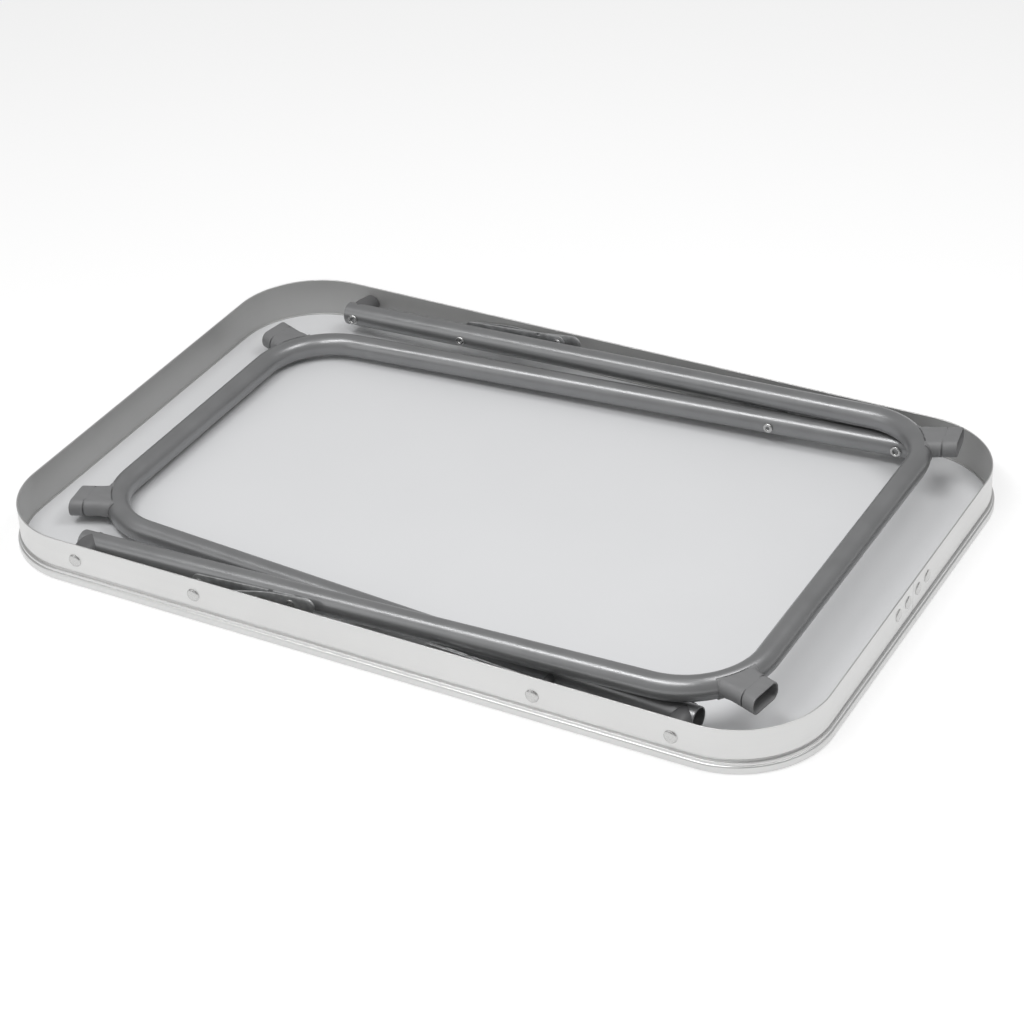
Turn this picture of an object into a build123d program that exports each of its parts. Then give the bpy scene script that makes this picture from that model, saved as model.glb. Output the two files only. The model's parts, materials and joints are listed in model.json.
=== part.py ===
"""Folding table, stored flat: it lies on its top face, underside up, with both U-shaped
leg frames folded inside the rim. Millimetres, +X along the length, +Z up, origin on the
ground under the middle of the table top."""
from build123d import *
import os
from math import atan2, cos, degrees, hypot, radians, sin, tan

os.makedirs("parts", exist_ok=True)

# Table top and rim
LENGTH, WIDTH = 900.0, 588.0
RIM_HEIGHT, RIM_WALL = 48.0, 1.6
BEAD_DEPTH, BEAD_TOP, LIP_TOP, LIP_DEPTH = 3.25, 9.6, 12.0, 1.7
LIP_OVERLAP = 2.4                  # how far the lip reaches down behind the bead
BEAD_EDGE, LIP_EDGE, WALL_EDGE = 2.3, 1.0, 0.4
CORNER = 94.0                      # outside radius of the rim wall
LEDGE_DEPTH, LEDGE_THICKNESS = 1.5, 1.0
BOARD_TOP, LAMINATE = 4.0, 0.8
WALL_X, WALL_Y = LENGTH / 2 - BEAD_DEPTH, WIDTH / 2 - BEAD_DEPTH
INNER_X, INNER_Y = WALL_X - RIM_WALL, WALL_Y - RIM_WALL

# Splice plate where the two ends of the rim meet, in the middle of the right short side
SPLICE_LENGTH, SPLICE_HEIGHT, SPLICE_THICKNESS, SPLICE_Z = 112.0, 24.0, 1.5, 33.0
SPLICE_RIVETS = (-36.5, -13.0, 13.0, 36.5)
SPLICE_CORNER = 4.0
SPLICE_SHANK_R, SPLICE_HEAD_R, SPLICE_HEAD_H = 2.0, 6.5, 1.8
SPLICE_TAIL_R, SPLICE_TAIL_H = 3.2, 1.2
SEAM = 0.3

# Leg frames
TUBE_R, TUBE_WALL, BEND_R = 12.5, 1.5, 80.0
HINGE_X, BAR_X = 330.0, 375.0      # hinge on one side of the middle, U-bar on the other
TUBE_TAIL = 12.0                   # tube past the hinge
LEG_PIVOT = 140.0                  # hinge to stay rivet, along the tube
RIM_PIVOT = 142.0                  # hinge to stay rivet, along the rim
CLEARANCE = 0.05                   # radial, between a rivet and what turns on it
GAP = 0.3                          # between faces that slide past each other
FIT = 0.02                         # between pieces of one body
INBOARD_Y, OUTBOARD_Y = 200.0, 320.0         # both ends of a tool that bores a spacer

# Hinges
PIVOT_R, PIVOT_HEAD_R, PIVOT_HEAD_H = 4.0, 7.0, 2.4
PIVOT_BORE_R, PIVOT_BORE_DEPTH, ROLL_R, ROLL_H = 2.9, 14.0, 6.0, 1.7
SPACER_R, SPACER_TIP_R = 12.5, 9.5          # at the tube and at the rim wall

# Folding stays: two flat links each
LINK_W, LINK_T = 18.0, 2.0
LEG_LINK_Y, ELBOW_STEP = 274.7, 2.4          # mid-planes of the links at the elbow
RIM_LINK_Y = 285.2
LEVER = 27.0                       # rim link past the elbow
STAY_R, STAY_HEAD_R, STAY_HEAD_H, STAY_SPACER_R = 2.5, 4.6, 1.5, 5.0
STAY_ROLL_R, STAY_BORE_R, STAY_BORE_DEPTH = 5.4, 1.9, 8.0
ELBOW_HEAD_H = 1.3
NOTCH_AT, NOTCH_W, NOTCH_D = 23.0, 5.0, 3.0  # notch in the leg link, from the elbow

# Feet
COLLAR_MIDDLE, COLLAR_SPAN, COLLAR_WALL = 34.0, 32.0, 1.0
COLLAR_OPEN = 3.0                  # the collar wraps the tube only outside this far past its middle
FOOT_ANCHOR, FOOT_TURN = 35.0, 22.0          # where on the bend the stub leaves, and its direction
FOOT_SKEW = 12.0                   # of the end, which isn't square to the stub
FOOT_W, FOOT_H, FOOT_R, FOOT_WALL = 40.0, 19.0, 8.5, 2.6
FOOT_LENGTH, BOOT_LENGTH, BOOT_LIP, SPIGOT = 43.5, 15.0, 0.5, 7.0
FOOT_LIFT = 2.0                    # of the stub over the tube's centre line
PLUG_WALL = 1.5


class Leg:
    """One U frame. It is drawn with its hinge at -X and its bar at +X; the inner frame
    is the mirror image, so its hinge is at +X."""

    def __init__(self, name, mirrored, hinge_z, bar_z, hinge_y, bar_y, travel, tilt):
        self.name, self.mirrored, self.hinge_z = name, mirrored, hinge_z
        self.hinge_y, self.bar_y, self.travel, self.tilt = hinge_y, bar_y, travel, tilt
        self.reach = hypot(HINGE_X + BAR_X, bar_z - hinge_z)
        self.slope = degrees(atan2(bar_z - hinge_z, HINGE_X + BAR_X))
        self.place = Pos(-HINGE_X, 0, hinge_z) * Rot(0, -self.slope, 0)

    def width_at(self, x):
        """Half-width of the frame at a distance x from the hinge, along the tube."""
        return self.hinge_y + (self.bar_y - self.hinge_y) * x / self.reach

    def taper(self):
        return atan2(self.hinge_y - self.bar_y, self.reach)

    def bend_centre(self):
        return self.reach - BEND_R, self.width_at(self.reach - BEND_R) - BEND_R / cos(self.taper())

    def inboard_side(self, x, radius):
        """Where a flat ring of that radius first meets the tube's inboard side."""
        return self.width_at(x) - TUBE_R / cos(self.taper()) - radius * tan(self.taper())

    def world(self, shape):
        return mirror(shape, about=Plane.YZ) if self.mirrored else shape


# name, mirrored, hinge height, bar height, half-width at hinge and bar, opening travel,
# slope of the rim's stay link when folded
OUTER = Leg("outer", False, 28.8, 55.0, 258.0, 258.0, 97.0, 7.0)
INNER = Leg("inner", True, 26.6, 19.7, 256.0, 202.0, 89.0, 3.0)
LEGS = (OUTER, INNER)


def save(node, *shapes):
    """Write one node: a single solid, or a group of separate ones."""
    solids = [solid for shape in shapes for solid in shape.solids()]
    group = solids[0] if len(solids) == 1 else Compound(solids)
    export_step(group, f"parts/{node}.step")


def front(shape):
    return mirror(shape, about=Plane.XZ)


def slab(x, y, radius, z0, z1):
    """Rounded rectangle of half-lengths x and y, from z0 to z1."""
    return Pos(0, 0, z0) * extrude(RectangleRounded(2 * x, 2 * y, radius), z1 - z0)


def rounded_slab(x, y, radius, z0, z1, edge):
    body = slab(x, y, radius, z0, z1)
    rims = [e for e in body.edges() if abs(e.center().Z - z0) < 1e-6 or abs(e.center().Z - z1) < 1e-6]
    return fillet(rims, edge)


def rod(radius, y0, y1, x=0.0, z=0.0):
    """Round bar along Y from y0 to y1."""
    return Pos(x, (y0 + y1) / 2, z) * Rot(90, 0, 0) * Cylinder(radius, abs(y1 - y0))


def dome(radius, height):
    """Rivet head that stands on the XY plane."""
    ball = (radius ** 2 + height ** 2) / (2 * height)
    return Pos(0, 0, height - ball) * Sphere(ball) & Pos(0, 0, ball) * Box(4 * ball, 4 * ball, 2 * ball)


def head(radius, height, y, x=0.0, z=0.0, outward=True):
    """Domed head at y, pointing along +Y, or along -Y if it isn't outward."""
    return Pos(x, y, z) * Rot(-90 if outward else 90, 0, 0) * dome(radius, height)


# ---------------------------------------------------------------- table top and rim
def rim_frame():
    bead = rounded_slab(LENGTH / 2, WIDTH / 2, CORNER + BEAD_DEPTH, 0, BEAD_TOP, BEAD_EDGE)
    lip = rounded_slab(WALL_X + LIP_DEPTH, WALL_Y + LIP_DEPTH, CORNER + LIP_DEPTH,
                       BEAD_TOP - LIP_OVERLAP, LIP_TOP, LIP_EDGE)
    wall = rounded_slab(WALL_X, WALL_Y, CORNER, 1, RIM_HEIGHT, WALL_EDGE)
    inside = slab(INNER_X, INNER_Y, CORNER - RIM_WALL, -1, RIM_HEIGHT + 1)
    ledge = slab(INNER_X + 0.5, INNER_Y + 0.5, CORNER - RIM_WALL + 0.5,
                 BOARD_TOP, BOARD_TOP + LEDGE_THICKNESS)
    ledge -= slab(INNER_X - LEDGE_DEPTH, INNER_Y - LEDGE_DEPTH, CORNER - RIM_WALL - LEDGE_DEPTH,
                  0, RIM_HEIGHT)
    rim = bead + lip + wall - inside + ledge
    rim -= Pos(LENGTH / 2, 0, RIM_HEIGHT / 2) * Box(40, SEAM, RIM_HEIGHT + 10)
    for y in SPLICE_RIVETS:
        rim -= Pos(WALL_X, y, SPLICE_Z) * Rot(0, 90, 0) * Cylinder(SPLICE_SHANK_R + FIT, 20)
    for leg in LEGS:
        for x, radius in ((-HINGE_X, PIVOT_R), (RIM_PIVOT - HINGE_X, STAY_R)):
            bore = rod(radius + FIT, -WALL_Y - 5, WALL_Y + 5, x, leg.hinge_z)
            rim -= leg.world(bore)
    return rim


def splice_plate():
    x = INNER_X - SPLICE_THICKNESS / 2 - FIT
    plate = Pos(x, 0, SPLICE_Z) * Box(SPLICE_THICKNESS, SPLICE_LENGTH, SPLICE_HEIGHT)
    plate = fillet(plate.edges().filter_by(Axis.X), SPLICE_CORNER)
    for y in SPLICE_RIVETS:
        plate -= Pos(x, y, SPLICE_Z) * Rot(0, 90, 0) * Cylinder(SPLICE_SHANK_R + FIT, 20)
    return plate


def splice_rivets():
    grip = RIM_WALL + SPLICE_THICKNESS + FIT
    length = grip + SPLICE_TAIL_H
    shank = Pos(0, 0, -length / 2) * Cylinder(SPLICE_SHANK_R, length)
    tail = Pos(0, 0, -grip - FIT - SPLICE_TAIL_H / 2) * Cylinder(SPLICE_TAIL_R, SPLICE_TAIL_H)
    rivet = Rot(0, 90, 0) * (shank + dome(SPLICE_HEAD_R, SPLICE_HEAD_H) + tail)
    return [Pos(WALL_X, y, SPLICE_Z) * rivet for y in SPLICE_RIVETS]


save("top_board", slab(INNER_X - FIT, INNER_Y - FIT, CORNER - RIM_WALL, LAMINATE, BOARD_TOP))
save("top_laminate", slab(INNER_X - FIT, INNER_Y - FIT, CORNER - RIM_WALL, 0, LAMINATE))
save("rim_frame", rim_frame())
save("rim_splice_plate", splice_plate())
save("rim_splice_rivets", *splice_rivets())


# ---------------------------------------------------------------- leg frames
def frame_path(leg):
    tail = leg.width_at(-TUBE_TAIL)
    corners = [(-TUBE_TAIL, -tail), (leg.reach, -leg.bar_y), (leg.reach, leg.bar_y), (-TUBE_TAIL, tail)]
    return FilletPolyline(*corners, radius=BEND_R)


def swept(leg, *radii):
    """Bar or tube along the frame's centre line."""
    path = frame_path(leg)
    section = Circle(radii[0])
    if len(radii) > 1:
        section -= Circle(radii[1])
    return sweep(Plane(origin=path @ 0, z_dir=path % 0) * section, path=path)


def leg_tube(leg):
    tube = swept(leg, TUBE_R, TUBE_R - TUBE_WALL)
    span = leg.hinge_y + TUBE_R + 5
    tube -= rod(PIVOT_R + CLEARANCE, -span, span)
    return tube - rod(STAY_R + FIT, -span, span, LEG_PIVOT)


def foot_place(leg):
    """Axes of a foot's stub: x out along it from the middle of the bent tube."""
    cx, cy = leg.bend_centre()
    anchor = radians(FOOT_ANCHOR)
    return Pos(cx + BEND_R * cos(anchor), cy + BEND_R * sin(anchor), FOOT_LIFT) * Rot(0, 0, FOOT_TURN)


def foot_section(leg, width, height, radius, x0, x1, square=0.0):
    """Rounded bar along the stub between two skewed cuts, and past a square one."""
    bar = Pos(square, 0, 0) * extrude(Plane.YZ * RectangleRounded(width, height, radius), 2 * BEND_R)
    thickness = (x1 - x0) * cos(radians(FOOT_SKEW))
    between = Pos((x0 + x1) / 2, 0, 0) * Rot(0, 0, -FOOT_SKEW) * Box(thickness, 4 * BEND_R, 2 * BEND_R)
    return foot_place(leg) * (bar & between)


def foot(leg, core):
    """Moulded foot: a saddle on the outer side of the bend with a flat hollow stub."""
    cx, cy = leg.bend_centre()
    ring = revolve(Plane.XZ * Pos(BEND_R, 0) * Circle(TUBE_R + COLLAR_WALL), Axis.Z, COLLAR_SPAN)
    collar = Pos(cx, cy, 0) * Rot(0, 0, COLLAR_MIDDLE - COLLAR_SPAN / 2) * ring
    collar -= Pos(cx, cy, 0) * Cylinder(BEND_R + COLLAR_OPEN, 4 * TUBE_R)
    top = FOOT_LIFT + FOOT_H / 2
    collar -= Pos(cx, cy, top + TUBE_R) * Box(4 * BEND_R, 4 * BEND_R, 2 * TUBE_R)
    split = FOOT_LENGTH - BOOT_LENGTH
    stub = foot_section(leg, FOOT_W, FOOT_H, FOOT_R, -BEND_R, split)
    pocket = foot_section(leg, FOOT_W - 2 * FOOT_WALL, FOOT_H - 2 * FOOT_WALL, FOOT_R - FOOT_WALL,
                          -BEND_R, split + 1, TUBE_R + FOOT_WALL)
    return collar + stub - pocket - core


def boot(leg):
    """End piece that plugs into the foot and stands on the ground."""
    split = FOOT_LENGTH - BOOT_LENGTH
    width, height = FOOT_W + 2 * BOOT_LIP, FOOT_H + 2 * BOOT_LIP
    shell = foot_section(leg, width, height, FOOT_R + BOOT_LIP, split + GAP, FOOT_LENGTH)
    fill_w, fill_h = FOOT_W - 2 * FOOT_WALL - 2 * FIT, FOOT_H - 2 * FOOT_WALL - 2 * FIT
    fill_r = FOOT_R - FOOT_WALL - FIT
    plug = foot_section(leg, fill_w, fill_h, fill_r, split - SPIGOT, split + 1, TUBE_R + FOOT_WALL + 1)
    bore = foot_section(leg, fill_w - 2 * PLUG_WALL, fill_h - 2 * PLUG_WALL, fill_r - PLUG_WALL,
                        split - SPIGOT - 1, FOOT_LENGTH + 1)
    return shell + plug - bore


def hinge_spacer(leg, core):
    """Spacer that tapers from the tube to the rim wall, hollowed to sit on the tube."""
    flank, tip = leg.hinge_y + TUBE_R, INNER_Y - GAP
    taper = Pos(0, (flank + tip) / 2, 0) * Rot(-90, 0, 0) * Cone(SPACER_R, SPACER_TIP_R, tip - flank)
    spacer = rod(SPACER_R, leg.hinge_y, flank) + taper
    spacer -= rod(PIVOT_R + CLEARANCE, INBOARD_Y, OUTBOARD_Y)
    return max((spacer - core).solids(), key=lambda piece: piece.center().Y)


def stay_spacer(leg, core):
    spacer = rod(STAY_SPACER_R, leg.width_at(LEG_PIVOT), LEG_LINK_Y - LINK_T / 2 - GAP, LEG_PIVOT)
    spacer -= rod(STAY_R + FIT, INBOARD_Y, OUTBOARD_Y, LEG_PIVOT)
    return max((spacer - core).solids(), key=lambda piece: piece.center().Y)


def stay_rivet(leg):
    """Rivet through the tube, its spacer and the leg link."""
    inboard = leg.inboard_side(LEG_PIVOT, STAY_ROLL_R) - FIT
    outboard = LEG_LINK_Y + LINK_T / 2 + GAP
    shank = rod(STAY_R, inboard, outboard, LEG_PIVOT)
    roll = rod(STAY_ROLL_R, inboard - ROLL_H, inboard, LEG_PIVOT)
    hollow = rod(STAY_BORE_R, inboard - 2 * ROLL_H, inboard + STAY_BORE_DEPTH, LEG_PIVOT)
    return shank + roll + head(STAY_HEAD_R, STAY_HEAD_H, outboard, LEG_PIVOT) - hollow


for leg in LEGS:
    core = swept(leg, TUBE_R + FIT)
    frame_name = f"{leg.name}_leg"

    def placed(shape):
        return leg.world(leg.place * shape)

    save(f"{frame_name}_tube", placed(leg_tube(leg)))
    foot_solid, boot_solid = foot(leg, core), boot(leg)
    for end, side in (("back", lambda shape: shape), ("front", front)):
        save(f"{frame_name}_{end}_foot", placed(side(foot_solid)))
        save(f"{frame_name}_{end}_boot", placed(side(boot_solid)))
    for node, piece in (("hinge_spacers", hinge_spacer(leg, core)),
                        ("stay_spacers", stay_spacer(leg, core)),
                        ("stay_rivets", stay_rivet(leg))):
        save(f"{frame_name}_{node}", placed(piece), placed(front(piece)))


# ---------------------------------------------------------------- rivets in the rim
def pivot_rivet(leg):
    """Long tubular rivet: head outside the rim, rolled end inside the tube's inboard side."""
    inboard = leg.inboard_side(0, ROLL_R) - GAP
    shank = rod(PIVOT_R, inboard - ROLL_H, WALL_Y)
    roll = rod(ROLL_R, inboard - ROLL_H, inboard)
    bore = rod(PIVOT_BORE_R, inboard - 2 * ROLL_H, inboard + PIVOT_BORE_DEPTH)
    rivet = shank + roll - bore + head(PIVOT_HEAD_R, PIVOT_HEAD_H, WALL_Y)
    return Pos(-HINGE_X, 0, leg.hinge_z) * rivet


def rim_stay_rivet(leg):
    inboard = RIM_LINK_Y - LINK_T / 2 - GAP
    rivet = rod(STAY_R, inboard, WALL_Y) + head(PIVOT_HEAD_R, PIVOT_HEAD_H, WALL_Y)
    rivet += head(STAY_HEAD_R, STAY_HEAD_H, inboard, outward=False)
    return Pos(RIM_PIVOT - HINGE_X, 0, leg.hinge_z) * rivet


def rim_stay_spacer(leg):
    spacer = rod(STAY_SPACER_R, RIM_LINK_Y + LINK_T / 2 + GAP, INNER_Y)
    spacer -= rod(STAY_R + FIT, INBOARD_Y, OUTBOARD_Y)
    return Pos(RIM_PIVOT - HINGE_X, 0, leg.hinge_z) * spacer


for node, make in (("hinge_rivets", pivot_rivet), ("rim_stay_rivets", rim_stay_rivet),
                   ("rim_stay_spacers", rim_stay_spacer)):
    pieces = [leg.world(side(make(leg))) for leg in LEGS for side in (lambda s: s, front)]
    save(node, *pieces)


# ---------------------------------------------------------------- folding stays
def stay_layout(leg):
    """Link lengths and angles that close the stay when folded and put it in one straight
    line when the leg is open. Points are (x, z) with the hinge at -X."""
    hinge = (-HINGE_X, leg.hinge_z)
    rim = (RIM_PIVOT - HINGE_X, leg.hinge_z)
    at = [(hinge[0] + LEG_PIVOT * cos(radians(leg.slope + turn)),
           hinge[1] + LEG_PIVOT * sin(radians(leg.slope + turn))) for turn in (0, leg.travel)]
    shut, wide = at
    ux, uz = cos(radians(leg.tilt)), sin(radians(leg.tilt))
    dx, dz = rim[0] - shut[0], rim[1] - shut[1]
    total = hypot(wide[0] - rim[0], wide[1] - rim[1])
    rim_link = (total ** 2 - dx ** 2 - dz ** 2) / (2 * (total + ux * dx + uz * dz))
    elbow = (rim[0] + rim_link * ux, rim[1] + rim_link * uz)
    leg_link_turn = degrees(atan2(elbow[1] - shut[1], elbow[0] - shut[0]))
    straight = degrees(atan2(wide[1] - rim[1], wide[0] - rim[0]))
    return {"rim": rim, "leg": shut, "elbow": elbow, "rim_link": rim_link,
            "leg_link": total - rim_link, "leg_link_turn": leg_link_turn,
            "rim_travel": straight - leg.tilt,
            "leg_link_travel": straight - 180 - leg_link_turn - leg.travel}


def strip(start, stop):
    """Flat outline in XZ of a link: round ends, centred on X, extruded both ways along Y."""
    length = stop - start
    outline = Pos((start + stop) / 2, 0) * SlotCenterToCenter(length, LINK_W)
    return extrude(Plane.XZ * outline, 20, both=True)


def rim_link(length):
    """Bent strip: by the rim at its pivot, stepped in to the leg link's face at the elbow,
    with a lever end past the elbow."""
    step_in = LEG_LINK_Y + ELBOW_STEP - RIM_LINK_Y
    bend_a, bend_b = length * 0.3, length - 20
    line = Polyline((-LINK_W, 0), (bend_a, 0), (bend_b, step_in), (length + LEVER + LINK_W, step_in))
    ribbon = extrude(Pos(0, 0, -LINK_W) * make_face(offset(line, LINK_T / 2)), 2 * LINK_W)
    link = ribbon & strip(0, length + LEVER - LINK_W / 2)
    link -= rod(STAY_R + CLEARANCE, -20, 20)
    return link - rod(STAY_R + FIT, -20, 20, length)


def leg_link(length):
    link = Box(4 * length, LINK_T, 2 * LINK_W) & strip(0, length)
    link -= Pos(length - NOTCH_AT, 0, LINK_W / 2) * Box(NOTCH_W, 10, 2 * NOTCH_D)
    link -= rod(STAY_R + CLEARANCE, -20, 20)
    return link - rod(STAY_R + FIT, -20, 20, length)


for leg in LEGS:
    stay = stay_layout(leg)
    print(leg.name, stay)
    rim_y, leg_y, elbow_y = RIM_LINK_Y, LEG_LINK_Y, LEG_LINK_Y + ELBOW_STEP
    at_rim = Pos(stay["rim"][0], rim_y, stay["rim"][1]) * Rot(0, -leg.tilt, 0)
    at_leg = Pos(stay["leg"][0], leg_y, stay["leg"][1]) * Rot(0, -stay["leg_link_turn"], 0)
    elbow_x, elbow_z = stay["elbow"]
    half = LINK_T / 2
    outer_half = rod(STAY_R, elbow_y - half, elbow_y + half, elbow_x, elbow_z)
    outer_half += head(STAY_HEAD_R, ELBOW_HEAD_H, elbow_y + half, elbow_x, elbow_z)
    inner_half = rod(STAY_R, leg_y - half, leg_y + half, elbow_x, elbow_z)
    inner_half += head(STAY_HEAD_R, ELBOW_HEAD_H, leg_y - half, elbow_x, elbow_z, outward=False)
    pieces = {"rim_link": at_rim * rim_link(stay["rim_link"]), "rim_link_rivet": outer_half,
              "leg_link": at_leg * leg_link(stay["leg_link"]), "leg_link_rivet": inner_half}
    for end, side in (("back", lambda shape: shape), ("front", front)):
        for node, piece in pieces.items():
            save(f"{leg.name}_{end}_{node}", leg.world(side(piece)))
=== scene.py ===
"""Looks of a folding table, built round its packed frame.

The table lies on its top face, with both U-shaped leg frames folded into the rim.
Lengths are in metres, in the frame of the packed part. A leg's own axes are x along its
tubes from the hinge, y across and z away from the board.
"""
import json
import math

import bmesh
import bpy
from bpy.props import FloatProperty, FloatVectorProperty, IntProperty, PointerProperty
from mathutils import Matrix, Vector


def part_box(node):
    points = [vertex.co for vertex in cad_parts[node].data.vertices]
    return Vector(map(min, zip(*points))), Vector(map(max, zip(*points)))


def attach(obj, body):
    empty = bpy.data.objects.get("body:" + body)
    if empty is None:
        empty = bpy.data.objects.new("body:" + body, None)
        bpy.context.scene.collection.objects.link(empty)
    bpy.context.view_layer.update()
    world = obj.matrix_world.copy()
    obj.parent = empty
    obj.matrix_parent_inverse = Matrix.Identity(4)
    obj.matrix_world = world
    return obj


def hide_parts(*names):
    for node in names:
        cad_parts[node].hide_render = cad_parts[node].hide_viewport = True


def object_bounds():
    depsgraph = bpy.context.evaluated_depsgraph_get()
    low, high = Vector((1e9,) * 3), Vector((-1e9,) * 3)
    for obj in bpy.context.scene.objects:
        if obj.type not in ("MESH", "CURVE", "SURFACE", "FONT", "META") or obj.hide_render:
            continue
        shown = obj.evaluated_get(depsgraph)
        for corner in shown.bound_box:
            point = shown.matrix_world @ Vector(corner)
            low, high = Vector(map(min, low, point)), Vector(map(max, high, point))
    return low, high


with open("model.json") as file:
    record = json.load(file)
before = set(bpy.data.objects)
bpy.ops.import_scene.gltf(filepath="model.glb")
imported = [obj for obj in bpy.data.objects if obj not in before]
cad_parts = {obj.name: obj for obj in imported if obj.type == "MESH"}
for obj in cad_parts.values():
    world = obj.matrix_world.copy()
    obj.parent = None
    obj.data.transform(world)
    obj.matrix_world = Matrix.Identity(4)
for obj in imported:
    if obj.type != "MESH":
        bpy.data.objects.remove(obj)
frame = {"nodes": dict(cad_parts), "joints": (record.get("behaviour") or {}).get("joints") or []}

bl_info = {
    "name": "Folding table",
    "version": (1, 0, 0),
    "blender": (4, 5, 0),
    "location": "View3D > Sidebar > Table",
    "description": "Builds the rim, leg frames, feet, stays and rivets of a folding table",
    "category": "Object",
}

CAD_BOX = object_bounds()
JOINTS = {joint["name"]: joint for joint in frame["joints"]}
MM = 0.001
BACK, FRONT = 1, -1
ENDS = {"back": BACK, "front": FRONT}
RIM_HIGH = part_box("rim_frame")[1]


def length(label, description, millimetres):
    """A length property whose default is given in millimetres."""
    return FloatProperty(name=label, description=description, default=millimetres * MM,
                         min=0.0, unit="LENGTH", precision=5)


def angle(label, description, degrees):
    return FloatProperty(name=label, description=description, default=math.radians(degrees),
                         subtype="ANGLE")


def share(label, description, value):
    return FloatProperty(name=label, description=description, default=value, min=0.0, max=1.0,
                         subtype="FACTOR")


def colour(label, description, value):
    return FloatVectorProperty(name=label, description=description, default=value, size=3,
                               min=0.0, max=1.0, subtype="COLOR")


# ------------------------------------------------------------------ sizes and colours
class TableRimSizes(bpy.types.PropertyGroup):
    """The folded metal rim and the splice that joins its ends."""
    wall: length("Wall", "Thickness of the rim wall", 1.6)
    corner: length("Corner", "Radius of the outside of the wall at the corners", 94.0)
    corner_steps: IntProperty(name="Corner steps", description="Faces round one corner", default=36, min=4)
    bead_depth: length("Bead depth", "How far the bead stands out from the wall", 3.25)
    bead_top: length("Bead top", "Height of the bead's upper edge", 9.6)
    bead_edge: length("Bead edge", "Radius of the bead's edges", 2.3)
    lip_depth: length("Lip depth", "How far the lip stands out from the wall", 1.7)
    lip_top: length("Lip top", "Height of the lip", 12.0)
    lip_edge: length("Lip edge", "Radius of the lip's upper edge", 0.9)
    groove: length("Groove", "Depth of the groove pressed in above the lip", 0.9)
    groove_top: length("Groove top", "Height at which the groove runs out", 15.4)
    top_edge: length("Top edge", "Radius along the upper edge of the wall", 0.6)
    ledge_depth: length("Ledge depth", "How far the ledge reaches over the board", 1.5)
    ledge_low: length("Ledge underside", "Height of the board's face", 4.0)
    ledge_high: length("Ledge top", "Height of the ledge", 5.0)
    seam: length("Seam", "Gap between the two ends of the rim", 0.3)
    splice_edge: length("Splice corner", "Corner radius of the splice plate", 4.0)
    splice_head: length("Splice rivet", "Radius of the splice rivets' heads", 6.5)
    splice_inner: length("Inner splice rivets", "Distance of the inner two rivets from the seam", 13.0)
    splice_shank: length("Splice shank", "Radius of the splice rivets' shanks", 2.0)
    splice_tail: length("Splice tail", "Radius of the splice rivets' tails inside", 3.2)
    splice_tail_height: length("Splice tail height", "Height of the splice rivets' tails", 1.2)


class TableLegSizes(bpy.types.PropertyGroup):
    """The bent tubes of the leg frames and their spacers."""
    tube: length("Tube", "Outside radius of the tube", 12.5)
    tube_wall: length("Tube wall", "Wall thickness of the tube", 1.5)
    bend: length("Bend", "Radius of the bends, at the middle of the tube", 80.0)
    bend_steps: IntProperty(name="Bend steps", description="Rings in one bend", default=28, min=4)
    round_steps: IntProperty(name="Round steps", description="Faces round the tube", default=56, min=8)
    ovality: share("Ovality", "How much a bend flattens the tube", 0.03)
    tail: length("Tail", "Tube past the hinge", 12.0)
    outer_spread: FloatVectorProperty(name="Outer spread", size=2, unit="LENGTH", default=(0.258, 0.258),
                                      description="Half-width of the outer frame at hinge and bar")
    inner_spread: FloatVectorProperty(name="Inner spread", size=2, unit="LENGTH", default=(0.256, 0.202),
                                      description="Half-width of the inner frame at hinge and bar")
    spacer: length("Spacer", "Radius of a hinge spacer where it sits on the tube", 12.5)
    spacer_tip: length("Spacer tip", "Radius of a hinge spacer at the rim", 9.5)
    stay_spacer: length("Stay spacer", "Radius of the spacers at the stays", 5.0)


class TableFootSizes(bpy.types.PropertyGroup):
    """The moulded feet in the bends, and the boots that plug into them."""
    middle: angle("Collar place", "Where on the bend the middle of the collar lies", 33.5)
    span: angle("Span", "How much of the bend the collar covers", 28.0)
    side: length("Collar side", "The collar starts this far out from the middle of the tube", 3.0)
    collar: length("Collar", "Thickness of the collar over the tube", 0.55)
    band: length("Band", "Width of the raised band at each end of the collar", 2.2)
    band_height: length("Band height", "How far the bands stand over the collar", 0.22)
    width: length("Width", "Width of the flat end of the foot", 40.0)
    height: length("Height", "Height of the flat end of the foot", 19.0)
    edge: length("Edge", "Radius along the sides of the foot", 8.5)
    wall: length("Wall", "Wall thickness of foot and boot", 2.6)
    lift: length("Lift", "Height of the flat end over the middle of the tube", 2.0)
    anchor: angle("Anchor", "Where on the bend the flat end leaves it", 35.0)
    turn: angle("Turn", "Direction of the flat end, from the line of the legs", 22.0)
    skew: angle("Skew", "How far the end face is turned out of square", 12.0)
    out: length("Out", "How far foot and boot stand out of the middle of the tube", 43.5)
    boot: length("Boot", "Length of the boot", 15.0)
    boot_lip: length("Boot lip", "How far the boot stands over the foot", 0.05)
    groove: length("Groove", "Depth of the groove between foot and boot, at the sides", 2.0)
    seam: length("Seam", "Depth of the groove between foot and boot, on top", 0.03)
    spigot: length("Spigot", "How far the boot plugs into the foot", 7.0)


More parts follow.
